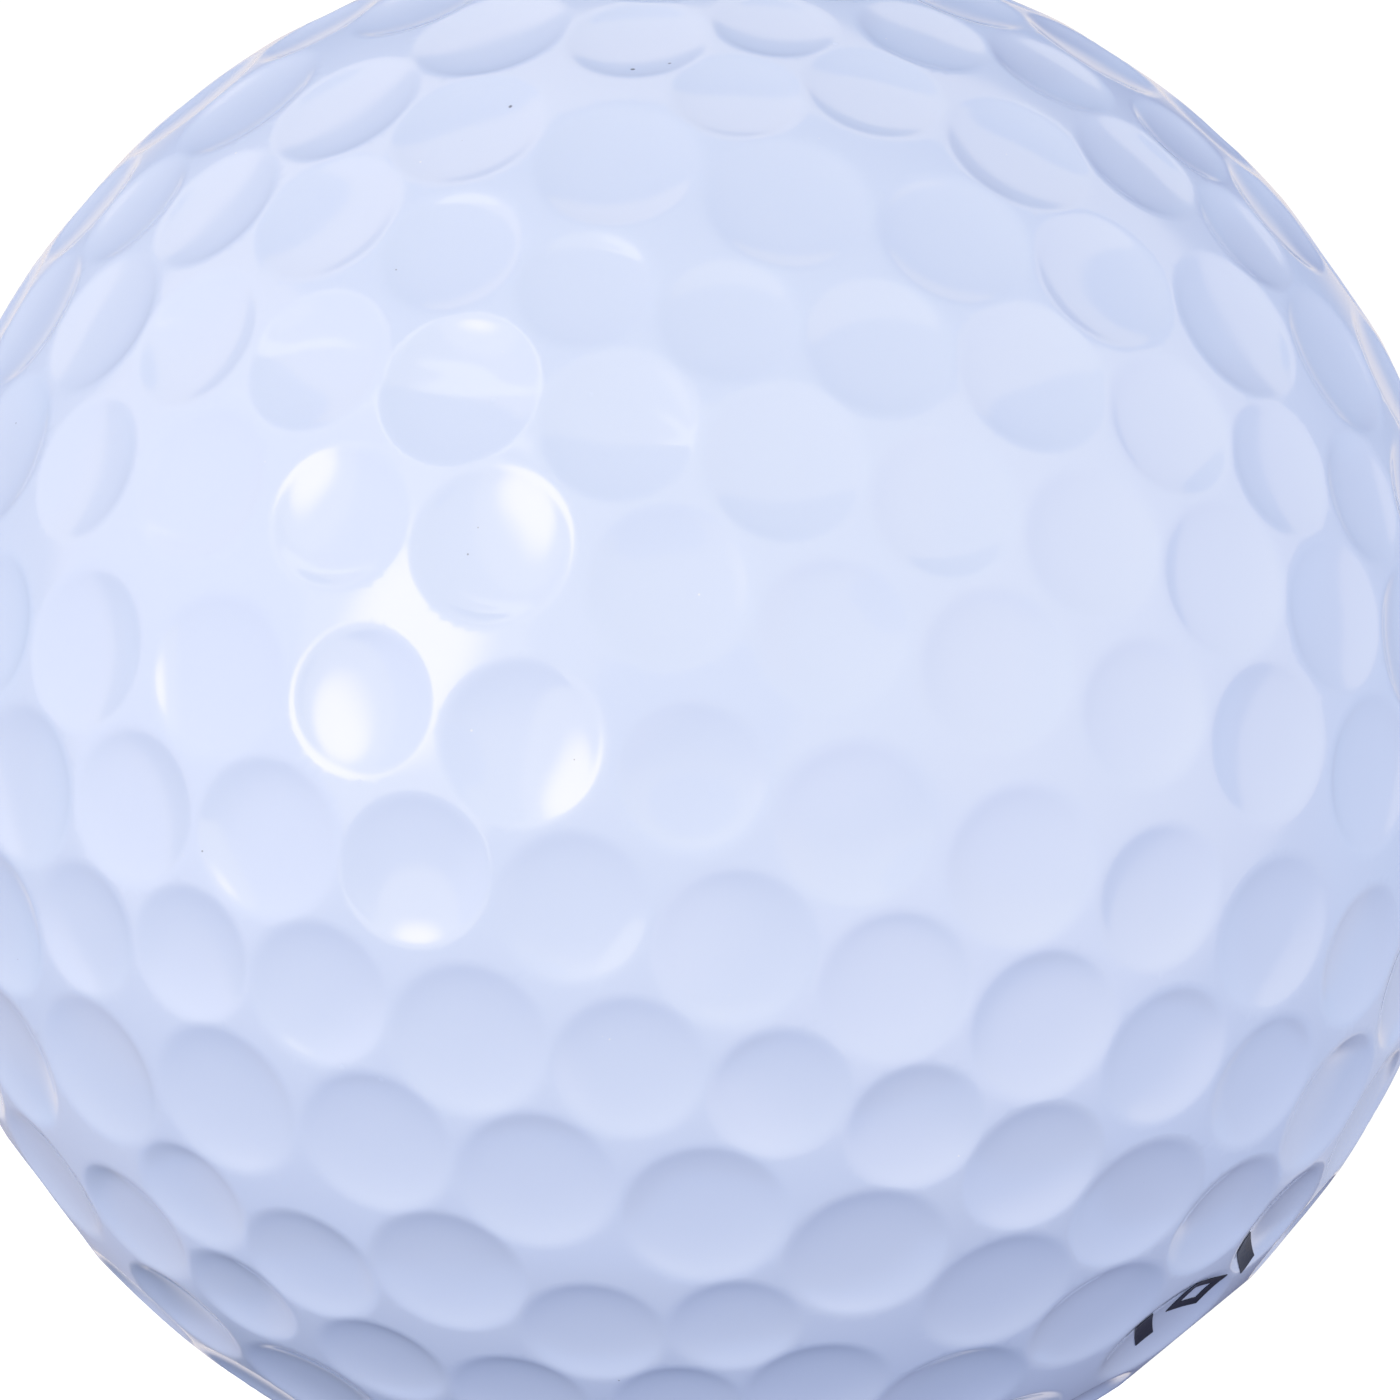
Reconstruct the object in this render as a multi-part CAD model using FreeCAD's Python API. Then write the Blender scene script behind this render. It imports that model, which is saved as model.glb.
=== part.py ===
"""Three-piece golf ball: rubber core, mantle, two moulded cover halves and a printed mark.

Units are millimetres and degrees.  The origin is the ball's centre.  +Z is the pole axis, which is
the axis the moulds open along, so the parting plane between the cover halves is XY.  +X is a
half-turn axis of the ball: turning the ball over about it lays one cover half on the other.
"""
import FreeCAD, Part
import os
from math import cos, degrees, radians, sin

from FreeCAD import Placement, Rotation, Vector

# ---- driving dimensions ------------------------------------------------------------------------
BALL_DIAMETER = 42.70          # over the lands
COVER_THICKNESS = 0.80         # land to the inside of the cover
MANTLE_THICKNESS = 0.90
BOND_LINE = 0.02               # clearance of the bond between one layer and the next

DIMPLE_EDGE_ANGLE = 15.5       # between the land and the dimple wall, where they meet at the rim
SPOKE_LONGITUDE = 45.5         # longitude of the first of a half's six spokes

INK_THICKNESS = 0.03
MARK_LATITUDE = -33.8          # middle of the printed mark
MARK_LONGITUDE = 66.8
MARK_TURN = 18.0               # lean of the mark's line from its meridian, towards the west
MARK_PITCH = 1.70              # diamond's middle to each bar's middle
BAR_WIDTH = 0.60               # along the mark's line
BAR_HEIGHT = 2.00              # across it
DIAMOND_WIDTH = 1.90
DIAMOND_HEIGHT = 2.20
DIAMOND_STROKE = 0.35          # width of the diamond's outline

# A dimple's span is the angle that its rim covers, seen from the ball's centre.
SPAN_1 = 8.7
SPAN_2 = 9.1
SPAN_3 = 9.6
SPAN_4 = 10.1
SPAN_5 = 10.4
SPAN_6 = 10.8
SPAN_7 = 11.1
SPAN_8 = 11.5

# One sixth of a cover half, as (latitude, angle from the spoke, span).  Each sixth is its own
# mirror image about the spoke, so an angle other than 0 or 30 stands for a pair of dimples.
DIMPLE_ROWS = [
    (6.3, 30.0, SPAN_7), (6.4, 6.3, SPAN_7), (6.0, 18.0, SPAN_4),
    (16.6, 0.0, SPAN_6), (16.7, 12.2, SPAN_7), (16.6, 24.1, SPAN_5),
    (26.2, 5.7, SPAN_3), (27.0, 17.4, SPAN_5), (27.8, 30.0, SPAN_7),
    (37.1, 7.7, SPAN_8), (37.6, 22.7, SPAN_7),
    (46.4, 0.0, SPAN_2), (50.6, 13.6, SPAN_4), (47.9, 30.0, SPAN_7),
    (56.1, 0.0, SPAN_1), (60.2, 19.9, SPAN_3),
    (67.1, 0.0, SPAN_6), (70.2, 30.0, SPAN_5),
    (78.5, 0.0, SPAN_6),
]
POLE_SPAN = SPAN_6
SPOKES = 6

# ---- sizes that follow -------------------------------------------------------------------------
BALL_RADIUS = BALL_DIAMETER / 2
COVER_INNER_RADIUS = BALL_RADIUS - COVER_THICKNESS
MANTLE_OUTER_RADIUS = COVER_INNER_RADIUS - BOND_LINE
MANTLE_INNER_RADIUS = MANTLE_OUTER_RADIUS - MANTLE_THICKNESS
CORE_RADIUS = MANTLE_INNER_RADIUS - BOND_LINE

CUTTER_OVERLAP = 0.04          # how far a cutter's wall runs on past the rim, so that it cuts clean
CUTTER_HEAD = 0.30             # how far a cutter stands out of the ball
BLOCK_DEPTH = 1.0              # half the depth of the block that a printed shape is cut from

ORIGIN = Vector(0, 0, 0)
UP = Vector(0, 0, 1)


def direction(latitude, longitude):
    """Unit vector from the ball's centre."""
    level = cos(radians(latitude))
    return Vector(level * cos(radians(longitude)), level * sin(radians(longitude)), sin(radians(latitude)))


def half_dimples():
    """Every dimple of the upper half, as (direction, span)."""
    dimples = [(UP, POLE_SPAN)]
    for latitude, angle, span in DIMPLE_ROWS:
        sides = (angle,) if angle in (0.0, 180.0 / SPOKES) else (angle, -angle)
        for spoke in range(SPOKES):
            for side in sides:
                longitude = SPOKE_LONGITUDE + side + spoke * 360.0 / SPOKES
                dimples.append((direction(latitude, longitude), span))
    return dimples


def turned_over(dimples):
    """The same dimples after a half turn about X."""
    return [(Vector(axis.x, -axis.y, -axis.z), span) for axis, span in dimples]


def dimple_cutter(span, skin=0.0):
    """Cutter for one dimple at the +Z pole.

    The wall is a ball cap that meets the land at DIMPLE_EDGE_ANGLE.  With a skin, the cap is the
    surface that lies that much above the dimple's wall.
    """
    half_span = radians(span / 2)
    wall_slope = radians(DIMPLE_EDGE_ANGLE) - half_span
    cap_radius = BALL_RADIUS * sin(half_span) / sin(wall_slope)
    cap_centre = BALL_RADIUS * cos(half_span) + cap_radius * cos(wall_slope)
    cap_radius -= skin

    mouth_radius = BALL_RADIUS * sin(half_span) + CUTTER_OVERLAP
    mouth_height = cap_centre - (cap_radius ** 2 - mouth_radius ** 2) ** 0.5
    middle_radius = mouth_radius / 2
    middle_height = cap_centre - (cap_radius ** 2 - middle_radius ** 2) ** 0.5
    bottom = Vector(0, 0, cap_centre - cap_radius)
    mouth = Vector(mouth_radius, 0, mouth_height)
    head = BALL_RADIUS + CUTTER_HEAD
    wall = Part.Arc(bottom, Vector(middle_radius, 0, middle_height), mouth).toShape()
    outline = Part.makePolygon([mouth, Vector(mouth_radius, 0, head), Vector(0, 0, head), bottom])
    profile = Part.Face(Part.Wire([wall] + outline.Edges))
    return profile.revolve(ORIGIN, UP, 360)


def placed(shape, axis):
    """The shape, with its +Z pole swung to the axis."""
    copy = shape.copy()
    copy.Placement = Placement(ORIGIN, Rotation(UP, axis))
    return copy


def cutters(dimples, skin=0.0):
    """One cutter in place for each dimple.  Dimples of one span share a shape."""
    shapes = {span: dimple_cutter(span, skin) for span in {span for _, span in dimples}}
    return [placed(shapes[span], axis) for axis, span in dimples]


def cover_half(lowest_latitude, highest_latitude, dimples):
    """Half of the cover, between two latitudes, with its dimples cut."""
    outside = Part.makeSphere(BALL_RADIUS, ORIGIN, UP, lowest_latitude, highest_latitude, 360)
    inside = Part.makeSphere(COVER_INNER_RADIUS, ORIGIN, UP)
    return outside.cut(inside).cut(cutters(dimples))


def mantle():
    """Closed shell between the core and the cover."""
    return Part.makeSphere(MANTLE_OUTER_RADIUS).cut(Part.makeSphere(MANTLE_INNER_RADIUS))


def mark_plane():
    """Placement with X along the mark's line, Y across it and Z out of the ball."""
    out = direction(MARK_LATITUDE, MARK_LONGITUDE)
    north = direction(MARK_LATITUDE + 90, MARK_LONGITUDE)
    west = out.cross(north) * -1
    along = north * cos(radians(MARK_TURN)) + west * sin(radians(MARK_TURN))
    return Placement(out * BALL_RADIUS, Rotation(along, out.cross(along), out, "ZXY"))


def block(points):
    """Block through the ball's surface with the given outline in the mark's plane."""
    corners = [Vector(x, y, -BLOCK_DEPTH) for x, y in points]
    prism = Part.Face(Part.makePolygon(corners + corners[:1])).extrude(Vector(0, 0, 2 * BLOCK_DEPTH))
    prism.Placement = mark_plane()
    return prism


def bar_block(middle):
    """Block of one bar, with its middle at a distance along the mark's line."""
    x, y = BAR_WIDTH / 2, BAR_HEIGHT / 2
    return block([(middle - x, -y), (middle + x, -y), (middle + x, y), (middle - x, y)])


def diamond_block():
    """Block of the diamond's outline."""
    x, y = DIAMOND_WIDTH / 2, DIAMOND_HEIGHT / 2
    middle_to_edge = x * y / (x * x + y * y) ** 0.5
    inner = 1 - DIAMOND_STROKE / middle_to_edge
    corners = [(-x, 0), (0, -y), (x, 0), (0, y)]
    outer_block = block(corners)
    inner_block = block([(inner * along, inner * across) for along, across in corners])
    return outer_block.cut(inner_block)


def ink_on(blocks, dimples):
    """Even skin of ink on the cover's outer surface, within the blocks."""
    middle = direction(MARK_LATITUDE, MARK_LONGITUDE)
    reach = degrees((MARK_PITCH + BAR_HEIGHT) / BALL_RADIUS)
    near = [(axis, span) for axis, span in dimples
            if degrees(axis.getAngle(middle)) < reach + span / 2]
    top = Part.makeSphere(BALL_RADIUS + INK_THICKNESS).cut(cutters(near, INK_THICKNESS))
    base = Part.makeSphere(BALL_RADIUS).cut(cutters(near))
    skin = top.cut(base)
    return [blank.common(skin) for blank in blocks]


def save(name, shape):
    """Write one node and report it."""
    shape.exportStep("parts/" + name + ".step")
    print(f"{name}: {len(shape.Solids)} solid(s), {shape.Volume:.2f} mm3, valid {shape.isValid()}")


def main():
    """Build every node."""
    os.makedirs("parts", exist_ok=True)
    upper = half_dimples()
    lower = turned_over(upper)
    print(f"{len(upper) + len(lower)} dimples")

    save("core", Part.makeSphere(CORE_RADIUS))
    save("mantle", mantle())
    save("cover_upper_half", cover_half(0, 90, upper))
    save("cover_lower_half", cover_half(-90, 0, lower))
    bars = ink_on([bar_block(-MARK_PITCH), bar_block(MARK_PITCH)], lower)
    save("printed_bars", Part.Compound([solid for ink in bars for solid in ink.Solids]))
    save("printed_diamond", ink_on([diamond_block()], lower)[0])


if __name__ == "__main__":
    main()
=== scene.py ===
"""Golf ball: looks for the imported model, with its studio.

Lengths are metres and the origin is the ball's centre, as in the frame.  +Z is the pole axis.
"""
import logging
import math
from dataclasses import dataclass
from enum import Enum
from functools import cached_property
from typing import Callable

import bmesh
import bpy
from mathutils import Matrix, Vector, kdtree
from mathutils.geometry import delaunay_2d_cdt


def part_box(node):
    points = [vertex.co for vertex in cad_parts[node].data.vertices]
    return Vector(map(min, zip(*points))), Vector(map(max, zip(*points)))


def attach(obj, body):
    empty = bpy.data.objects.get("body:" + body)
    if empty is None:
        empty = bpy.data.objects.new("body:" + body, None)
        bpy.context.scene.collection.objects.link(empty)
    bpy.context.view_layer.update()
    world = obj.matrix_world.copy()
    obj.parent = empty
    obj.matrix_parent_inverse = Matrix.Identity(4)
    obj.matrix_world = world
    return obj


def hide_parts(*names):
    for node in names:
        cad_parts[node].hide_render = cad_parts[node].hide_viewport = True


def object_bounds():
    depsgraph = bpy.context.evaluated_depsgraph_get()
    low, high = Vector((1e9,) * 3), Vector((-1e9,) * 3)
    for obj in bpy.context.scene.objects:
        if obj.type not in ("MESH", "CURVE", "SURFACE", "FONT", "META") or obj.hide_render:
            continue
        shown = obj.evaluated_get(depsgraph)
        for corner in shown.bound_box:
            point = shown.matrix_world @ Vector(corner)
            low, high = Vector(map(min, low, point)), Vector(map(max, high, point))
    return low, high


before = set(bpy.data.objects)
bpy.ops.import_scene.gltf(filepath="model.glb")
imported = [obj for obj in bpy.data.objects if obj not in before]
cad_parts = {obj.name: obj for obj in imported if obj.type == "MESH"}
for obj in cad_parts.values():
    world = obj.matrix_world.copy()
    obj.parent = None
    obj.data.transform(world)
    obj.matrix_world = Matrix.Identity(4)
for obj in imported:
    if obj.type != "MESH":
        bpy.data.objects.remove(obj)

MM = 0.001
CAD_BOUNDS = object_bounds()
log = logging.getLogger("golf_ball")


# ---- shader maths ------------------------------------------------------------------------------
class Channel:
    """A shader socket that takes part in Python expressions."""

    def __init__(self, nodes: "Nodes", socket: bpy.types.NodeSocket) -> None:
        """Wraps a socket.

        Args:
            nodes: the nodes that the socket is among.
            socket: an output socket.
        """
        self.nodes = nodes
        self.socket = socket

    def __add__(self, other: "Channel | float") -> "Channel":
        """Sum."""
        return self.nodes.math("ADD", self, other)

    __radd__ = __add__

    def __sub__(self, other: "Channel | float") -> "Channel":
        """Difference."""
        return self.nodes.math("SUBTRACT", self, other)

    def __rsub__(self, other: "Channel | float") -> "Channel":
        """Difference from a number."""
        return self.nodes.math("SUBTRACT", other, self)

    def __mul__(self, other: "Channel | float") -> "Channel":
        """Product."""
        return self.nodes.math("MULTIPLY", self, other)

    __rmul__ = __mul__

    def __truediv__(self, other: "Channel | float") -> "Channel":
        """Quotient."""
        return self.nodes.math("DIVIDE", self, other)

    def __lt__(self, other: "Channel | float") -> "Channel":
        """1 where this is less than the other, else 0."""
        return self.nodes.math("LESS_THAN", self, other)


class Nodes:
    """A node tree that is being added to."""

    def __init__(self, tree: bpy.types.NodeTree) -> None:
        """Takes a node tree."""
        self.tree = tree

    def node(self, kind: str, settings: dict | None = None, inputs: dict | None = None) -> bpy.types.Node:
        """Adds a node.

        Args:
            kind: the node's type.
            settings: attributes of the node, set before its sockets.
            inputs: value or Channel for each named or numbered socket.

        Returns:
            The new node.
        """
        made = self.tree.nodes.new(kind)
        for key, value in (settings or {}).items():
            setattr(made, key, value)
        for key, value in (inputs or {}).items():
            self.feed(made.inputs[key], value)
        return made

    def feed(self, socket: bpy.types.NodeSocket, value: object) -> None:
        """Links a Channel to a socket, or sets the socket's value.

        Args:
            socket: an input socket.
            value: a Channel, or what the socket holds.
        """
        if isinstance(value, Channel):
            self.tree.links.new(value.socket, socket)
        else:
            socket.default_value = value

    def math(self, operation: str, *values: "Channel | float") -> Channel:
        """Adds a Math node.

        Args:
            operation: what the node does.
            *values: its numbers or Channels, in order.

        Returns:
            The result.
        """
        made = self.node("ShaderNodeMath", {"operation": operation}, dict(enumerate(values)))
        return Channel(self, made.outputs[0])

    def spread(self, value: Channel, low: float, high: float) -> Channel:
        """Maps low..high smoothly to 0..1, and holds the ends.

        Args:
            value: what is mapped.
            low: the value that becomes 0.
            high: the value that becomes 1.

        Returns:
            The mapped value.
        """
        settings = {"interpolation_type": "SMOOTHSTEP"}
        inputs = {"Value": value, "From Min": low, "From Max": high}
        return Channel(self, self.node("ShaderNodeMapRange", settings, inputs).outputs["Result"])

    def dot(self, place: Channel, axis: Vector) -> Channel:
        """Length of a place along an axis.

        Args:
            place: a vector.
            axis: a unit vector.

        Returns:
            The length.
        """
        made = self.node("ShaderNodeVectorMath", {"operation": "DOT_PRODUCT"}, {0: place, 1: axis})
        return Channel(self, made.outputs["Value"])

    def mix(self, share: "Channel | float", first: object, second: object) -> Channel:
        """Mixes two colours.

        Args:
            share: how much of the second colour there is.
            first: a colour or a Channel.
            second: a colour or a Channel.

        Returns:
            The mixed colour.
        """
        made = self.node("ShaderNodeMix", {"data_type": "RGBA"}, {0: share, 6: first, 7: second})
        return Channel(self, made.outputs[2])


class Shader(Nodes):
    """A material and the nodes that are being added to it."""

    SPECK_CORE = 0.5

    def __init__(self, name: str) -> None:
        """Starts a material with one Principled shader.

        Args:
            name: the material's name.
        """
        self.material = bpy.data.materials.new(name)
        self.material.use_nodes = True
        super().__init__(self.material.node_tree)
        self.surface = self.tree.nodes["Principled BSDF"]
        self.place = Channel(self, self.node("ShaderNodeTexCoord").outputs["Object"])

    def noise(self, size: float, detail: float = 2.0, roughness: float = 0.5) -> Channel:
        """Noise with features of a size in metres, from 0 to 1.

        Args:
            size: metres across a feature.
            detail: how many finer layers there are.
            roughness: how strong each finer layer is.

        Returns:
            The noise.
        """
        inputs = {"Vector": self.place, "Scale": 1 / size, "Detail": detail, "Roughness": roughness}
        return Channel(self, self.node("ShaderNodeTexNoise", inputs=inputs).outputs[0])

    def specks(self, spacing: float, radius: float, share: float) -> Channel:
        """Scattered round specks with soft edges.

        Args:
            spacing: metres from one possible speck to the next.
            radius: a speck's radius in metres.
            share: part of the possible specks that is there.

        Returns:
            1 in the middle of a speck, 0 off it.
        """
        inputs = {"Vector": self.place, "Scale": 1 / spacing}
        cells = self.node("ShaderNodeTexVoronoi", {"feature": "F1"}, inputs)
        colour = Channel(self, cells.outputs["Color"])
        chance = Channel(self, self.node("ShaderNodeSeparateColor", inputs={0: colour}).outputs[0])
        edge = radius / spacing
        away = self.spread(Channel(self, cells.outputs["Distance"]), self.SPECK_CORE * edge, edge)
        return (1 - away) * (chance < share)

    def bump(self, height: Channel, depth: float) -> Channel:
        """Normal from a height of 0 to 1 that stands for a depth in metres.

        Args:
            height: the height.
            depth: metres that a height of 1 stands for.

        Returns:
            The normal.
        """
        made = self.node("ShaderNodeBump", inputs={"Height": height, "Distance": depth, "Strength": 1.0})
        return Channel(self, made.outputs["Normal"])

    def dress(self, **sockets: object) -> bpy.types.Material:
        """Sets the Principled shader's sockets.

        Args:
            **sockets: value or Channel for each socket, with _ for a space in its name.

        Returns:
            The finished material.
        """
        for key, value in sockets.items():
            self.feed(self.surface.inputs[key.replace("_", " ")], value)
        return self.material


# ---- finishes ----------------------------------------------------------------------------------
@dataclass(frozen=True)
class Specks:
    """How scattered specks lie: lengths in metres, and the part of their places that holds one."""

    spacing: float
    radius: float
    share: float

    def on(self, shader: Shader) -> Channel:
        """1 in the middle of a speck, 0 off it."""
        return shader.specks(self.spacing, self.radius, self.share)


@dataclass(frozen=True)
class CoverFinish:
    """White pigmented cover under a gloss clear coat, with a little dust and a few pinholes."""

    name: str = "cover_white"
    white: tuple = (0.760, 0.830, 0.970, 1)
    shade: tuple = (0.735, 0.805, 0.955, 1)
    dirt: tuple = (0.10, 0.10, 0.13, 1)
    lint: tuple = (0.95, 0.95, 0.97, 1)
    tint_patch: float = 7 * MM
    dust: Specks = Specks(1.2 * MM, 0.035 * MM, 0.20)
    dust_cover: float = 0.5
    spots: Specks = Specks(3.1 * MM, 0.080 * MM, 0.20)
    spot_cover: float = 0.8
    fluff: Specks = Specks(0.9 * MM, 0.040 * MM, 0.15)
    fluff_cover: float = 0.8
    pits: Specks = Specks(2.3 * MM, 0.10 * MM, 0.35)
    pit_depth: float = 0.006 * MM
    pit_dullness: float = 0.7
    grain: float = 0.35 * MM
    grain_share: float = 0.08
    roughness: tuple = (0.42, 0.52)

    def make(self) -> bpy.types.Material:
        """Makes the material."""
        shader = Shader(self.name)
        colour = shader.mix(shader.noise(self.tint_patch, detail=3), self.white, self.shade)
        marks = self.dust.on(shader) * self.dust_cover + self.spots.on(shader) * self.spot_cover
        colour = shader.mix(marks, colour, self.dirt)
        colour = shader.mix(self.fluff.on(shader) * self.fluff_cover, colour, self.lint)
        grain = shader.noise(self.grain, detail=3)
        pits = self.pits.on(shader)
        smooth, rough = self.roughness
        return shader.dress(
            Base_Color=colour,
            Roughness=smooth + grain * (rough - smooth),
            Normal=shader.bump(grain * self.grain_share - pits, self.pit_depth),
            Specular_IOR_Level=0.0,
            Coat_Weight=1 - pits * self.pit_dullness,
            Coat_Roughness=0.01,
            Coat_IOR=1.5,
        )


@dataclass(frozen=True)
class LayerFinish:
    """Moulded layer inside the ball."""

    name: str
    colour: tuple
    mottle: tuple
    roughness: float
    patch: float
    grain: float
    grain_depth: float
    grain_roughness: float = 0.12
    patch_edges: tuple = (0.35, 0.65)
    flecks: Specks = Specks(1.4 * MM, 0.12 * MM, 0.3)
    fleck_cover: float = 0.3

    def make(self) -> bpy.types.Material:
        """Makes the material."""
        shader = Shader(self.name)
        patches = shader.spread(shader.noise(self.patch, detail=4), *self.patch_edges)
        grain = shader.noise(self.grain, detail=4, roughness=0.6)
        colour = shader.mix(patches, self.colour, self.mottle)
        return shader.dress(
            Base_Color=shader.mix(self.flecks.on(shader) * self.fleck_cover, colour, self.colour),
            Roughness=self.roughness + grain * self.grain_roughness,
            Normal=shader.bump(grain, self.grain_depth),
        )


@dataclass(frozen=True)
class InkFinish:
    """Black printing ink under the clear coat."""

    name: str = "ink_black"
    black: tuple = (0.010, 0.010, 0.018, 1)
    worn: tuple = (0.030, 0.032, 0.050, 1)
    wear_patch: float = 0.12 * MM
    wear_edges: tuple = (0.4, 0.7)
    wear_depth: float = 0.001 * MM
    roughness: tuple = (0.45, 0.60)

    def make(self) -> bpy.types.Material:
        """Makes the material."""
        shader = Shader(self.name)
        wear = shader.spread(shader.noise(self.wear_patch, detail=3), *self.wear_edges)
        smooth, rough = self.roughness
        return shader.dress(
            Base_Color=shader.mix(wear, self.black, self.worn),
            Roughness=smooth + wear * (rough - smooth),
            Normal=shader.bump(wear, self.wear_depth),
            Specular_IOR_Level=0.2,
            Coat_Weight=0.2,
            Coat_Roughness=0.02,
        )


class Finish(Enum):
    """The ball's finishes, under the record's slot names."""

    COVER = "cover_white"
    MANTLE = "mantle_ionomer"
    CORE = "core_rubber"
    INK = "ink_black"


class Workshop:
    """The materials, each made once."""

    def __init__(self) -> None:
        """Makes every material."""
        mantle = LayerFinish(
            name="mantle_ionomer",
            colour=(0.80, 0.77, 0.68, 1),
            mottle=(0.72, 0.69, 0.60, 1),
            roughness=0.38,
            patch=5 * MM,
            grain=0.5 * MM,
            grain_depth=0.004 * MM,
        )
        core = LayerFinish(
            name="core_rubber",
            colour=(0.05, 0.17, 0.27, 1),
            mottle=(0.035, 0.12, 0.20, 1),
            roughness=0.62,
            patch=3 * MM,
            grain=0.3 * MM,
            grain_depth=0.012 * MM,
        )
        self.materials = {
            Finish.COVER: CoverFinish().make(),
            Finish.MANTLE: mantle.make(),
            Finish.CORE: core.make(),
            Finish.INK: InkFinish().make(),
        }

    def paint(self, piece: bpy.types.Object, finish: Finish) -> None:
        """Gives a piece one finish all over.

        Args:
            piece: the piece.
            finish: its finish.
        """
        piece.data.materials.clear()
        piece.data.materials.append(self.materials[finish])

    def hand_over(self, piece: bpy.types.Object, finish: Finish, node: str) -> None:
        """Paints a finished piece, and puts it in the place of its CAD node.

        Args:
            piece: the piece, with its place in its mesh.
            finish: its finish.
            node: the CAD node that it stands for.
        """
        self.paint(piece, finish)
        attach(piece, "root")
        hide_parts(node)
        log.info("%s stands for %s: %d faces", piece.name, node, len(piece.data.polygons))


# ---- modelling helpers -------------------------------------------------------------------------
def pick(*pieces: bpy.types.Object) -> None:
    """Selects these objects only, with the first one active.

    Args:
        *pieces: the objects.
    """
    bpy.ops.object.select_all(action="DESELECT")
    for piece in pieces:
        piece.select_set(True)
    bpy.context.view_layer.objects.active = pieces[0]


def new_piece(name: str) -> bpy.types.Object:
    """Names the object that an operator has just added.

    Args:
        name: name of the object and its mesh.

    Returns:
        The object.
    """
    piece = bpy.context.object
    piece.name = piece.data.name = name
    return piece


def select_vertices(piece: bpy.types.Object, wanted: Callable[[Vector], bool]) -> None:
    """In edit mode, selects the vertices whose place passes a test, with their edges and faces.

    Args:
        piece: the object in edit mode.
        wanted: the test.
    """
    mesh = bmesh.from_edit_mesh(piece.data)
    for item in (*mesh.faces, *mesh.edges, *mesh.verts):
        item.select = False
    for vertex in mesh.verts:
        vertex.select = wanted(vertex.co)
    mesh.select_flush(True)
    bmesh.update_edit_mesh(piece.data)


def settle(piece: bpy.types.Object) -> None:
    """Applies a piece's modifiers and its placement, so that its place is in its mesh.

    Args:
        piece: the piece.
    """
    pick(piece)
    for modifier in list(piece.modifiers):
        bpy.ops.object.modifier_apply(modifier=modifier.name)
    bpy.ops.object.transform_apply(location=True, rotation=True, scale=True)


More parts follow.
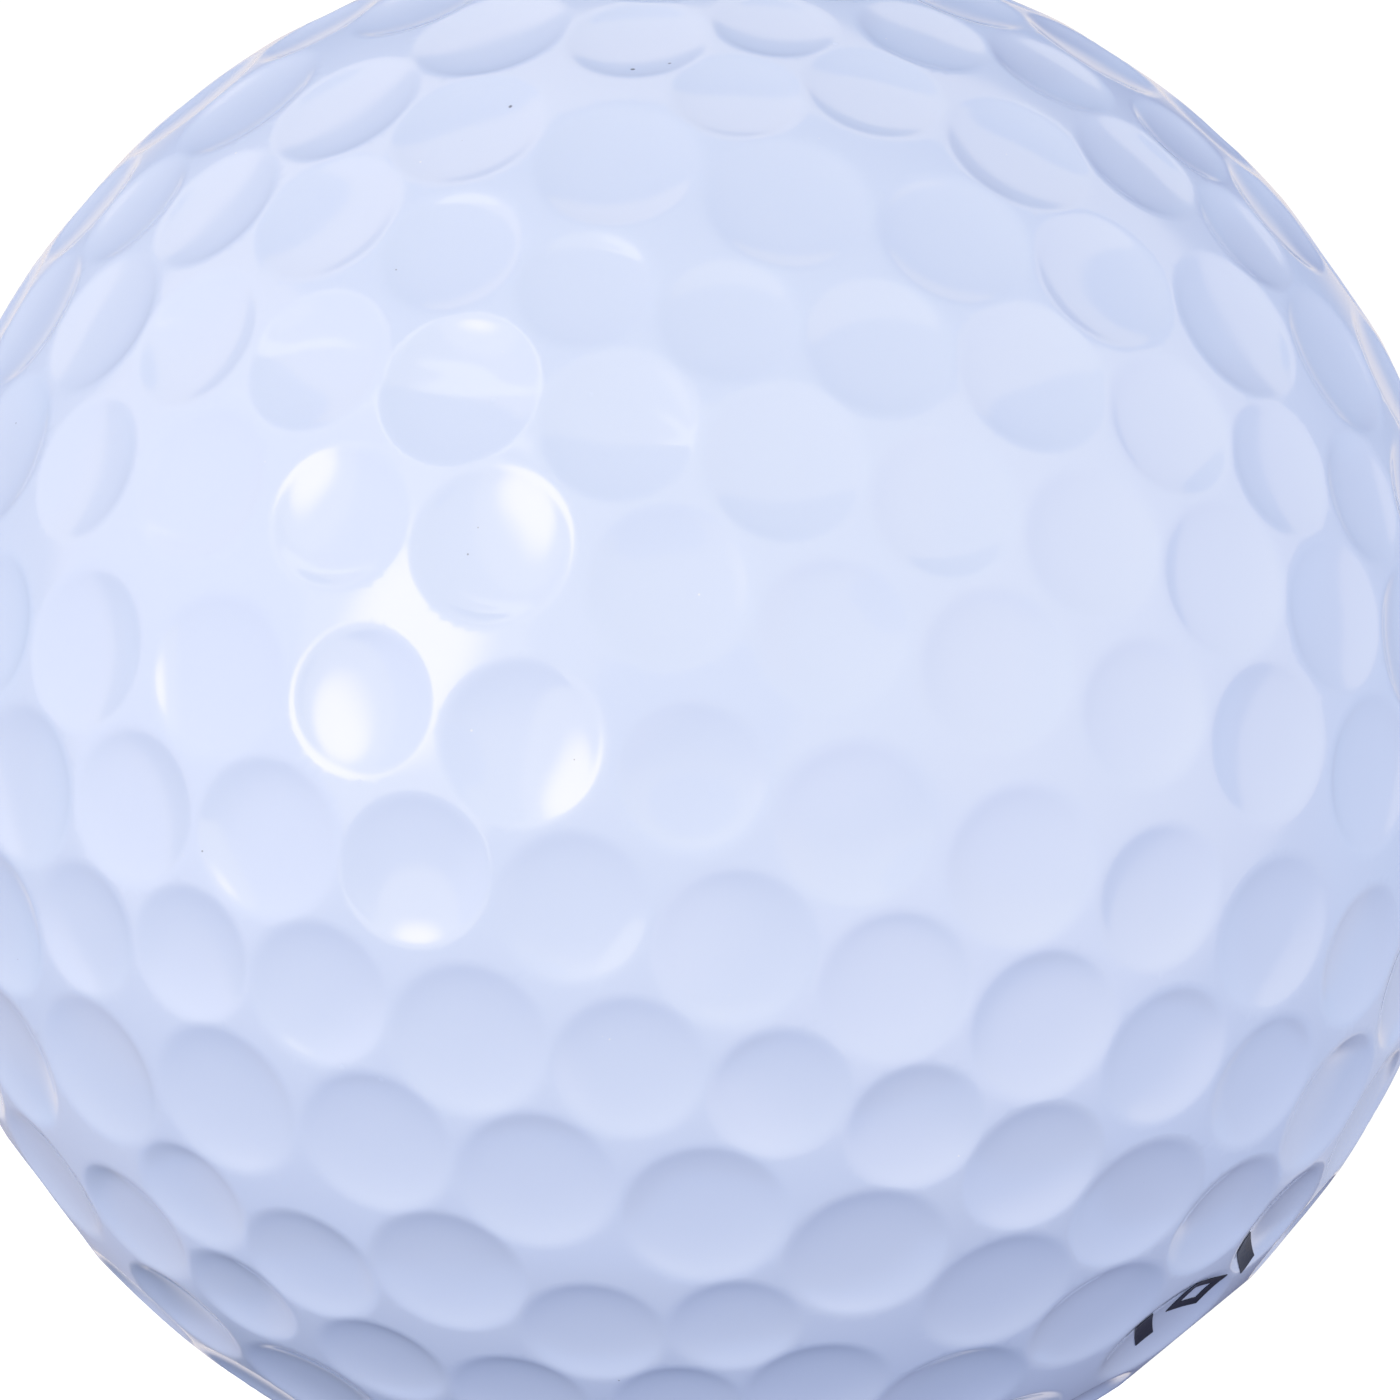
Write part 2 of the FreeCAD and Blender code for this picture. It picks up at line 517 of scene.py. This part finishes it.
# ---- dimples -----------------------------------------------------------------------------------
@dataclass(frozen=True)
class DimpleShape:
    """Section of one dimple: a bowl that steepens outwards, and a soft rim that rounds over to the land."""

    ball_radius: float
    span: float
    rim_slope: float = 23.0
    even_share: float = 0.48
    rim_width: float = 0.50 * MM
    rim_shift: float = 0.02 * MM
    rim_steps: tuple = (0.05 * MM, -0.01 * MM, -0.06 * MM, -0.11 * MM, -0.17 * MM, -0.24 * MM, -0.36 * MM)
    bowl_shares: tuple = (0.65, 0.38, 0.14)
    segments: int = 36
    samples: int = 120

    @property
    def rim(self) -> float:
        """Distance over the ball from the axis to the rim."""
        return math.radians(self.span / 2) * self.ball_radius

    @property
    def border(self) -> float:
        """Distance from the axis to the outermost ring of the mesh."""
        return self.rim + self.rim_steps[0]

    @property
    def reach(self) -> float:
        """Distance from the axis to where the rounded rim ends."""
        return self.rim + self.rim_shift + self.rim_width / 2

    def slope(self, distance: float) -> float:
        """Slope of the surface against the ball's round.

        Args:
            distance: distance over the ball from the dimple's axis.

        Returns:
            Rise per length, outwards.
        """
        if distance >= self.reach:
            return 0.0
        share = distance / self.rim
        bowl = math.radians(self.rim_slope) * (self.even_share * share + (1 - self.even_share) * share**3)
        over = max(0.0, 1 - (self.reach - distance) / self.rim_width)
        return bowl * (1 - over * over * (3 - 2 * over))

    @cached_property
    def depths(self) -> list[float]:
        """Depth under the ball's round at even distances, from the axis to the end of the rim."""
        step = self.reach / self.samples
        depths = [0.0]
        for index in reversed(range(self.samples)):
            depths.append(depths[-1] + self.slope((index + 0.5) * step) * step)
        return depths[::-1]

    def depth(self, distance: float) -> float:
        """Depth under the ball's round at a distance from the axis.

        Args:
            distance: distance over the ball from the dimple's axis.

        Returns:
            The depth.
        """
        place = distance / self.reach * self.samples
        index = int(place)
        if index >= self.samples:
            return 0.0
        return self.depths[index] + (self.depths[index + 1] - self.depths[index]) * (place - index)

    def rings(self) -> list[tuple[float, float]]:
        """Radius and height of each ring, from the border inwards to the last before the middle."""
        distances = [self.rim + step for step in self.rim_steps]
        distances += [self.rim * share for share in self.bowl_shares]
        rings = []
        for distance in distances:
            radius, angle = self.ball_radius - self.depth(distance), distance / self.ball_radius
            rings.append((radius * math.sin(angle), radius * math.cos(angle)))
        return rings

    def model(self) -> bpy.types.Object:
        """Models the dimple at the +Z pole, from its outer ring inwards."""
        rings = self.rings()
        radius, height = rings[0]
        bpy.ops.object.select_all(action="DESELECT")
        bpy.ops.mesh.primitive_circle_add(vertices=self.segments, radius=radius, location=(0, 0, height))
        bowl = new_piece("dimple")
        bpy.ops.object.transform_apply(location=True)
        bpy.ops.object.mode_set(mode="EDIT")
        bpy.ops.mesh.select_all(action="SELECT")
        for next_radius, next_height in rings[1:]:
            bpy.ops.mesh.extrude_edges_move(TRANSFORM_OT_translate={"value": (0, 0, next_height - height)})
            factor = next_radius / radius
            bpy.ops.transform.resize(value=(factor, factor, 1), center_override=(0, 0, next_height))
            radius, height = next_radius, next_height
        bottom = self.ball_radius - self.depth(0)
        bpy.ops.mesh.extrude_edges_move(TRANSFORM_OT_translate={"value": (0, 0, bottom - height)})
        bpy.ops.mesh.merge(type="CENTER")
        bpy.ops.mesh.select_all(action="SELECT")
        bpy.ops.mesh.normals_make_consistent(inside=False)
        bpy.ops.object.mode_set(mode="OBJECT")
        if bowl.data.polygons[0].normal.z < 0:
            bowl.data.flip_normals()
        return bowl


@dataclass(frozen=True)
class Dimple:
    """A dimple in its place."""

    axis: Vector
    shape: DimpleShape

    def distance(self, out: Vector) -> float:
        """Distance over the ball from the dimple's axis to a direction."""
        return self.axis.angle(out) * self.shape.ball_radius

    def around(self, distance: float, count: int) -> list[Vector]:
        """Directions that lie evenly round the dimple.

        Args:
            distance: their distance over the ball from the dimple's axis.
            count: how many there are.

        Returns:
            Unit vectors.
        """
        turn = Vector((0, 0, 1)).rotation_difference(self.axis)
        latitude = 90 - math.degrees(distance / self.shape.ball_radius)
        return [turn @ direction(latitude, 360 * (index + 0.5) / count) for index in range(count)]


def direction(latitude: float, longitude: float) -> Vector:
    """Unit vector from the ball's centre, from angles in degrees.

    Args:
        latitude: angle above the parting plane.
        longitude: angle round the pole axis, from +X.

    Returns:
        The vector.
    """
    level = math.cos(math.radians(latitude))
    east = math.radians(longitude)
    return Vector((level * math.cos(east), level * math.sin(east), math.sin(math.radians(latitude))))


class DimplePattern:
    """The upper half's dimples: six equal sixths, each its own mirror image about a spoke."""

    SPOKES = 6
    SPOKE_LONGITUDE = 45.5
    POLE_SPAN = 10.8
    NEIGHBOURS = 4
    ON_AXIS = 1e-6
    # latitude, angle from the spoke, span
    ROWS = (
        (6.3, 30.0, 11.1), (6.4, 6.3, 11.1), (6.0, 18.0, 10.1),
        (16.6, 0.0, 10.8), (16.7, 12.2, 11.1), (16.6, 24.1, 10.4),
        (26.2, 5.7, 9.6), (27.0, 17.4, 10.4), (27.8, 30.0, 11.1),
        (37.1, 7.7, 11.5), (37.6, 22.7, 11.1),
        (46.4, 0.0, 9.1), (50.6, 13.6, 10.1), (47.9, 30.0, 11.1),
        (56.1, 0.0, 8.7), (60.2, 19.9, 9.6),
        (67.1, 0.0, 10.8), (70.2, 30.0, 10.4),
        (78.5, 0.0, 10.8),
    )

    def __init__(self, ball_radius: float) -> None:
        """Places every dimple.

        Args:
            ball_radius: radius over the lands.
        """
        self.ball_radius = ball_radius
        spans = {self.POLE_SPAN, *(span for _, _, span in self.ROWS)}
        self.shapes = {span: DimpleShape(ball_radius, span) for span in sorted(spans)}
        self.dimples = [Dimple(Vector((0, 0, 1)), self.shapes[self.POLE_SPAN])]
        for latitude, angle, span in self.ROWS:
            sides = (angle,) if angle in (0.0, 180 / self.SPOKES) else (angle, -angle)
            for spoke in range(self.SPOKES):
                for side in sides:
                    longitude = self.SPOKE_LONGITUDE + side + spoke * 360 / self.SPOKES
                    self.dimples.append(Dimple(direction(latitude, longitude), self.shapes[span]))
        self.finder = kdtree.KDTree(len(self.dimples))
        for index, dimple in enumerate(self.dimples):
            self.finder.insert(dimple.axis, index)
        self.finder.balance()

    def near(self, out: Vector) -> list[tuple[Dimple, float]]:
        """The dimples nearest to a direction, each with its axis's distance over the ball.

        Args:
            out: a unit vector.

        Returns:
            Pairs of a dimple and its distance.
        """
        near = [self.dimples[index] for _, index, _ in self.finder.find_n(out, self.NEIGHBOURS)]
        return [(dimple, dimple.distance(out)) for dimple in near]

    def clear(self, place: Vector) -> float:
        """Distance from a place to the border of the nearest dimple, negative inside it."""
        return min(distance - dimple.shape.border for dimple, distance in self.near(place.normalized()))

    def surface(self, place: Vector) -> tuple[Vector, Vector]:
        """The cover's outer surface in the direction of a place.

        Args:
            place: any place in that direction.

        Returns:
            The point on the surface, and the surface's exact normal there.
        """
        out = place.normalized()
        radius, normal = self.ball_radius, out.copy()
        for dimple, distance in self.near(out):
            radius -= dimple.shape.depth(distance)
            outwards = out * out.dot(dimple.axis) - dimple.axis
            if outwards.length > self.ON_AXIS:
                normal -= outwards.normalized() * dimple.shape.slope(distance)
        return out * radius, normal.normalized()


# ---- cover -------------------------------------------------------------------------------------
@dataclass
class Cover:
    """The two moulded halves of the cover."""

    ball_radius: float
    inner_radius: float
    seam_points: int = 360
    land_spacing: float = 0.45 * MM
    rim_rows: tuple = (0.08 * MM, 0.17 * MM)
    seam_margin: float = 0.08 * MM
    inner_segments: int = 96
    weld: float = 0.001 * MM
    row_slack: float = 0.99
    scatter_gap: float = 1.5
    border_slack: float = 0.002 * MM
    map_tolerance: float = 1e-9

    def bowls(self, pattern: DimplePattern) -> bpy.types.Object:
        """Models one dimple of each span, and copies it to every place.

        Args:
            pattern: where the dimples are.

        Returns:
            All of the upper half's dimples as one object.
        """
        models = {shape: shape.model() for shape in pattern.shapes.values()}
        copies = []
        for dimple in pattern.dimples:
            copy = models[dimple.shape].copy()
            copy.data = models[dimple.shape].data.copy()
            copy.data.transform(Vector((0, 0, 1)).rotation_difference(dimple.axis).to_matrix().to_4x4())
            bpy.context.collection.objects.link(copy)
            copies.append(copy)
        for model in models.values():
            bpy.data.objects.remove(model)
        pick(*copies)
        bpy.ops.object.join()
        return new_piece("dimples")

    def land_points(self, pattern: DimplePattern) -> list[Vector]:
        """Points on the upper half's lands: rows round each dimple, and an even scatter beyond them.

        Args:
            pattern: where the dimples are.

        Returns:
            The points.
        """
        points = []
        for dimple in pattern.dimples:
            for row in self.rim_rows:
                for out in dimple.around(dimple.shape.border + row, dimple.shape.segments):
                    if pattern.clear(out) > row * self.row_slack:
                        points.append(out)
        count = int(4 * math.pi * (self.ball_radius / self.land_spacing) ** 2)
        turn = math.pi * (3 - math.sqrt(5))
        for index in range(count // 2):
            height = 1 - (2 * index + 1) / count
            level = math.sqrt(1 - height**2)
            out = Vector((level * math.cos(turn * index), level * math.sin(turn * index), height))
            if pattern.clear(out) > self.rim_rows[-1] * self.scatter_gap:
                points.append(out)
        return [out * self.ball_radius for out in points if out.z * self.ball_radius > self.seam_margin]

    def land(self, bowls: bpy.types.Object, pattern: DimplePattern) -> bpy.types.Object:
        """Surface between the dimples, down to the seam.

        Its triangles join the dimples' outer rings, the seam's ring and the points between them.
        They are found on a flat map that keeps circles round, seen from the lower pole.

        Args:
            bowls: the dimples.
            pattern: where they are.

        Returns:
            The lands as one object.
        """
        edges = bmesh.new()
        edges.from_mesh(bowls.data)
        border = [edge for edge in edges.edges if edge.is_boundary]
        ends = dict.fromkeys(vertex for edge in border for vertex in edge.verts)
        number = {vertex: index for index, vertex in enumerate(ends)}
        places = [vertex.co.copy() for vertex in ends]
        links = [(number[edge.verts[0]], number[edge.verts[1]]) for edge in border]
        edges.free()

        first = len(places)
        for index in range(self.seam_points):
            places.append(direction(0, 360 * index / self.seam_points) * self.ball_radius)
            links.append((first + index, first + (index + 1) % self.seam_points))
        places += self.land_points(pattern)
        flat = [Vector((place.x, place.y)) / (self.ball_radius + place.z) for place in places]
        _, _, faces, sources, _, _ = delaunay_2d_cdt(flat, links, [], 0, self.map_tolerance)
        faces = [[sources[corner][0] for corner in face] for face in faces]
        faces = [face for face in faces if self.is_land(face, places, pattern)]

        mesh = bpy.data.meshes.new("land")
        mesh.from_pydata(places, [], faces)
        piece = bpy.data.objects.new("land", mesh)
        bpy.context.collection.objects.link(piece)
        return piece

    def is_land(self, face: list[int], places: list[Vector], pattern: DimplePattern) -> bool:
        """Whether a triangle of the map lies between the dimples and not across one.

        Args:
            face: its corners' numbers.
            places: every corner's place.
            pattern: where the dimples are.

        Returns:
            True for a piece of land.
        """
        middle = sum((places[corner] for corner in face), Vector()) / len(face)
        return pattern.clear(middle) > -self.border_slack

    def inner_wall(self) -> bpy.types.Object:
        """Half a hollow ball, facing inwards."""
        bpy.ops.object.select_all(action="DESELECT")
        bpy.ops.mesh.primitive_uv_sphere_add(
            segments=self.inner_segments, ring_count=self.inner_segments // 2, radius=self.inner_radius
        )
        wall = new_piece("inner_wall")
        bpy.ops.object.mode_set(mode="EDIT")
        select_vertices(wall, lambda place: place.z < -self.weld)
        bpy.ops.mesh.delete(type="VERT")
        bpy.ops.mesh.select_all(action="SELECT")
        bpy.ops.mesh.flip_normals()
        bpy.ops.object.mode_set(mode="OBJECT")
        return wall

    def upper_half(self, pattern: DimplePattern) -> bpy.types.Object:
        """Models the upper half, closed along the parting plane.

        Args:
            pattern: where the dimples are.

        Returns:
            The half.
        """
        bowls = self.bowls(pattern)
        land = self.land(bowls, pattern)
        pick(bowls, land, self.inner_wall())
        bpy.ops.object.join()
        half = new_piece("cover_upper")
        bpy.ops.object.mode_set(mode="EDIT")
        bpy.ops.mesh.select_all(action="SELECT")
        bpy.ops.mesh.remove_doubles(threshold=self.weld)
        select_vertices(half, lambda place: abs(place.z) < self.weld)
        bpy.ops.mesh.bridge_edge_loops()
        bpy.ops.object.mode_set(mode="OBJECT")
        bpy.ops.object.shade_smooth()
        self.set_surface(half, pattern)
        return half

    def set_surface(self, half: bpy.types.Object, pattern: DimplePattern) -> None:
        """Gives the outer surface its exact depth and normals, with the rims that run into each other.

        The inner wall and the parting face keep their own normals.

        Args:
            half: the upper half.
            pattern: where the dimples are.
        """
        mesh = half.data
        between = (self.ball_radius + self.inner_radius) / 2
        exact = []
        for vertex in mesh.vertices:
            normal = Vector()
            if vertex.co.length > between:
                vertex.co, normal = pattern.surface(vertex.co)
            exact.append(normal)
        normals = [Vector()] * len(mesh.loops)
        for polygon in mesh.polygons:
            if polygon.center.length > between and not self.is_seam(polygon):
                for loop, vertex in zip(polygon.loop_indices, polygon.vertices):
                    normals[loop] = exact[vertex]
        mesh.normals_split_custom_set(normals)

    def is_seam(self, polygon: bpy.types.MeshPolygon) -> bool:
        """Whether a face lies in the parting plane."""
        return abs(polygon.center.z) < self.weld

    def lower_half(self, upper: bpy.types.Object) -> bpy.types.Object:
        """The same half, turned over about X.

        Args:
            upper: the upper half.

        Returns:
            The lower half.
        """
        half = upper.copy()
        half.data = upper.data.copy()
        half.name = half.data.name = "cover_lower"
        half.data.transform(Matrix.Rotation(math.pi, 4, "X"))
        bpy.context.collection.objects.link(half)
        return half


# ---- printed mark ------------------------------------------------------------------------------
@dataclass
class PrintedMark:
    """Alignment mark: a diamond's outline between two bars, printed over the dimples."""

    ball_radius: float
    latitude: float = -33.8
    longitude: float = 66.8
    turn: float = 18.0
    pitch: float = 1.70 * MM
    bar: tuple = (0.60 * MM, 2.00 * MM)
    diamond: tuple = (1.90 * MM, 2.20 * MM)
    stroke: float = 0.35 * MM
    ink: float = 0.02 * MM
    lift: float = 0.003 * MM
    cuts: int = 15
    start_height: float = MM
    soft_angle: float = 50.0

    def plane(self) -> Matrix:
        """Frame with X along the mark's line, Y across it and Z out of the ball."""
        out = direction(self.latitude, self.longitude)
        north = direction(self.latitude + 90, self.longitude)
        west = -out.cross(north)
        turn = math.radians(self.turn)
        along = north * math.cos(turn) + west * math.sin(turn)
        turned = Matrix((along, out.cross(along), out)).transposed().to_4x4()
        return Matrix.Translation(out * (self.ball_radius + self.start_height)) @ turned

    def print_on(self, outline: bpy.types.Object, cover: bpy.types.Object) -> None:
        """Lays a flat outline on the cover as an even skin of ink.

        Args:
            outline: the flat outline, drawn round the origin.
            cover: the half that it is printed on.
        """
        outline.matrix_world = self.plane()
        wrap = outline.modifiers.new("lay", "SHRINKWRAP")
        wrap.wrap_method = "PROJECT"
        wrap.use_project_z = True
        wrap.use_negative_direction = True
        wrap.use_positive_direction = False
        wrap.target = cover
        wrap.offset = self.lift
        skin = outline.modifiers.new("ink", "SOLIDIFY")
        skin.thickness = self.ink
        skin.offset = 1
        settle(outline)
        bpy.ops.object.shade_smooth_by_angle(angle=math.radians(self.soft_angle))

    def bars(self) -> bpy.types.Object:
        """Models the two flat bars."""
        made = []
        for side in (-1, 1):
            bpy.ops.object.select_all(action="DESELECT")
            bpy.ops.mesh.primitive_plane_add(size=1, location=(side * self.pitch, 0, 0))
            made.append(bpy.context.object)
            made[-1].scale = (*self.bar, 1)
            bpy.ops.object.transform_apply(location=True, rotation=True, scale=True)
        pick(*made)
        bpy.ops.object.join()
        bars = new_piece("ink_bars")
        bpy.ops.object.mode_set(mode="EDIT")
        bpy.ops.mesh.select_all(action="SELECT")
        bpy.ops.mesh.subdivide(number_cuts=self.cuts)
        bpy.ops.object.mode_set(mode="OBJECT")
        return bars

    def outline(self) -> bpy.types.Object:
        """Models the flat outline of the diamond."""
        width, height = self.diamond
        bpy.ops.object.select_all(action="DESELECT")
        bpy.ops.mesh.primitive_circle_add(vertices=4, radius=0.5, fill_type="NGON")
        diamond = new_piece("ink_diamond")
        diamond.scale = (width, height, 1)
        bpy.ops.object.transform_apply(location=True, rotation=True, scale=True)
        bpy.ops.object.mode_set(mode="EDIT")
        bpy.ops.mesh.select_all(action="SELECT")
        bpy.ops.mesh.inset(thickness=self.stroke, use_even_offset=True)
        bpy.ops.mesh.delete(type="FACE")
        bpy.ops.mesh.select_all(action="SELECT")
        bpy.ops.mesh.subdivide(number_cuts=self.cuts)
        bpy.ops.object.mode_set(mode="OBJECT")
        return diamond


# ---- studio ------------------------------------------------------------------------------------
@dataclass(frozen=True)
class Patch:
    """A soft-edged oval of light or shade on the dome of the studio.

    Angles are in degrees on the dome: to the right of the camera, and up.
    """

    name: str
    centre: tuple
    half: tuple
    colour: tuple
    softness: float = 0.08
    turn: float = 0.0

    def mask(self, nodes: Nodes, across: Channel, upward: Channel) -> Channel:
        """1 in the oval and 0 off it.

        Args:
            nodes: the surroundings' nodes.
            across: angle to the right.
            upward: angle up.

        Returns:
            The mask.
        """
        right, up = across - self.centre[0], upward - self.centre[1]
        level, rise = math.cos(math.radians(self.turn)), math.sin(math.radians(self.turn))
        along = (right * level + up * rise) / self.half[0]
        over = (up * level - right * rise) / self.half[1]
        inner, outer = (1 - self.softness) ** 2, (1 + self.softness) ** 2
        return 1 - nodes.spread(along * along + over * over, inner, outer)


@dataclass
class Studio:
    """Camera, lights, floor and surroundings."""

    ball_radius: float
    floor_height: float
    azimuth: float = -5.0
    elevation: float = -2.36
    roll: float = 13.5
    distance_in_radii: float = 15.55
    radius_in_frame: float = 0.5675
    centre_right: float = -0.0114
    centre_up: float = -0.0151
    sensor: float = 36.0
    clip_start: float = 10 * MM
    floor_size: float = 6.0
    floor_white: tuple = (0.9, 0.9, 0.9, 1)
    floor_glow: float = 0.7
    backdrop: tuple = (1.05, 1.05, 1.05, 1)
    base: tuple = (0.87, 0.80, 0.79)
    patches: tuple = (
        Patch("behind", (0, 10), (148, 146), (0.22, 0.32, 0.56), 0.06),
        Patch("behind_low_left", (-118, -88), (34, 30), (0.46, 0.45, 0.54), 0.30),
        Patch("behind_left", (-132, 2), (22, 40), (0.38, 0.54, 0.81), 0.35),
        Patch("behind_right", (122, -15), (18, 36), (0.34, 0.51, 0.82), 0.35),
        Patch("behind_low_right", (144, -66), (26, 36), (0.46, 0.50, 0.66), 0.30),
        Patch("behind_top_right", (84, 100), (26, 26), (0.13, 0.18, 0.39), 0.30),
        Patch("tent", (0, 23), (103, 102), (1.08, 1.00, 0.98), 0.03),
        Patch("inside", (0, 10), (80, 84), (1.17, 1.08, 1.08), 0.10),
        Patch("table", (0, -50), (84, 42), (0.23, 0.36, 0.69), 0.30),
        Patch("underside", (-10, -118), (88, 32), (0.01, 0.01, 0.01), 0.15),
        Patch("underside_right", (50, -92), (38, 24), (0.01, 0.01, 0.05), 0.20),
        Patch("dark_corner", (92, -120), (40, 26), (0.10, 0.10, 0.18), 0.15, 40),
        Patch("front", (12, 20), (50, 28), (0.94, 0.98, 1.01), 0.25),
        Patch("right_wall", (66, 14), (30, 48), (1.22, 1.14, 1.04), 0.25),
        Patch("left_wall", (-72, 12), (26, 44), (1.00, 1.04, 1.36), 0.30),
        Patch("table_right", (40, -38), (30, 22), (1.10, 1.09, 1.30), 0.40),
        Patch("opening", (1, 2), (14.5, 11), (0.33, 0.49, 0.89), 0.12),
        Patch("ceiling", (5, 72), (66, 27), (0.14, 0.31, 0.72), 0.025),
        Patch("fold_long", (-44, 49), (22, 1.6), (2.4, 2.2, 1.6), 0.40, -5),
        Patch("fold_short", (-32, 44), (13, 1.6), (2.4, 2.2, 1.6), 0.40, -22),
        Patch("fold_patch", (-35, 46.5), (6, 3), (2.4, 2.2, 1.6), 0.20, -10),
        Patch("glow", (-39, 9), (17, 31), (1.68, 1.57, 1.28), 0.05),
        Patch("lamp", (-38.5, 11.5), (9, 14), (6.0, 4.8, 2.2), 0.45),
    )

    def turned(self) -> Matrix:
        """The camera's turn: its X is right, its Y is up and its Z is towards the camera."""
        away = direction(self.elevation, self.azimuth)
        level = away.to_track_quat("Z", "Y").to_matrix()
        return level @ Matrix.Rotation(math.radians(self.roll), 3, "Z")

    def add_camera(self) -> None:
        """Adds the camera and makes it the scene's."""
        lens = bpy.data.cameras.new("camera")
        camera = bpy.data.objects.new("camera", lens)
        bpy.context.collection.objects.link(camera)
        turned = self.turned()
        camera.matrix_world = Matrix.Translation(
            turned.col[2] * self.distance_in_radii * self.ball_radius
        ) @ turned.to_4x4()
        lens.sensor_width = self.sensor
        lens.lens = self.sensor * self.radius_in_frame * math.sqrt(self.distance_in_radii**2 - 1)
        lens.shift_x = -self.centre_right
        lens.shift_y = -self.centre_up
        lens.clip_start = self.clip_start
        bpy.context.scene.camera = camera

    def add_floor(self) -> None:
        """Adds the pale floor that the ball rests on.  The dome alone lights the ball."""
        bpy.ops.object.select_all(action="DESELECT")
        bpy.ops.mesh.primitive_plane_add(size=self.floor_size, location=(0, 0, self.floor_height))
        floor = new_piece("floor")
        bpy.ops.object.transform_apply(location=True)
        shader = Shader("floor_white")
        floor.data.materials.append(shader.dress(
            Base_Color=self.floor_white,
            Roughness=0.8,
            Specular_IOR_Level=0.0,
            Emission_Color=(1, 1, 1, 1),
            Emission_Strength=self.floor_glow,
        ))
        floor.visible_diffuse = floor.visible_glossy = floor.visible_shadow = False

    def add_surroundings(self) -> None:
        """Lights the scene from the dome, and shows a plain white backdrop."""
        scene = bpy.context.scene
        scene.world = bpy.data.worlds.new("studio")
        scene.world.use_nodes = True
        nodes = Nodes(scene.world.node_tree)
        toward = Channel(nodes, nodes.node("ShaderNodeTexCoord").outputs["Generated"])
        right, up, out = (nodes.dot(toward, axis) for axis in self.turned().col)
        degrees = nodes.math("ARCCOSINE", out) * math.degrees(1)
        level = nodes.math("SQRT", right * right + up * up)
        across, upward = degrees * right / level, degrees * up / level
        colour = (*self.base, 1)
        for patch in self.patches:
            colour = nodes.mix(patch.mask(nodes, across, upward), colour, (*patch.colour, 1))
        seen = Channel(nodes, nodes.node("ShaderNodeLightPath").outputs["Is Camera Ray"])
        colour = nodes.mix(seen, colour, self.backdrop)
        nodes.feed(scene.world.node_tree.nodes["Background"].inputs["Color"], colour)
        scene.view_settings.view_transform = "Standard"

    def build(self) -> None:
        """Adds everything."""
        self.add_camera()
        self.add_floor()
        self.add_surroundings()


def main() -> None:
    """Builds the ball's pieces and the studio, and reports each."""
    logging.basicConfig(level=logging.INFO, format="%(name)s: %(message)s")
    low, high = CAD_BOUNDS
    ball_radius = (high[0] - low[0]) / 2
    inner_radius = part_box("mantle")[1][0]
    Studio(ball_radius, low[2]).build()

    workshop = Workshop()
    pattern = DimplePattern(ball_radius)
    cover = Cover(ball_radius, inner_radius)
    upper = cover.upper_half(pattern)
    lower = cover.lower_half(upper)
    mark = PrintedMark(ball_radius)
    bars, diamond = mark.bars(), mark.outline()
    mark.print_on(bars, lower)
    mark.print_on(diamond, lower)

    workshop.hand_over(upper, Finish.COVER, "cover_upper_half")
    workshop.hand_over(lower, Finish.COVER, "cover_lower_half")
    workshop.hand_over(bars, Finish.INK, "printed_bars")
    workshop.hand_over(diamond, Finish.INK, "printed_diamond")
    for node, finish in {"core": Finish.CORE, "mantle": Finish.MANTLE}.items():
        workshop.paint(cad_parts[node], finish)
        log.info("%s keeps its CAD shape", node)


if __name__ == "__main__":
    main()
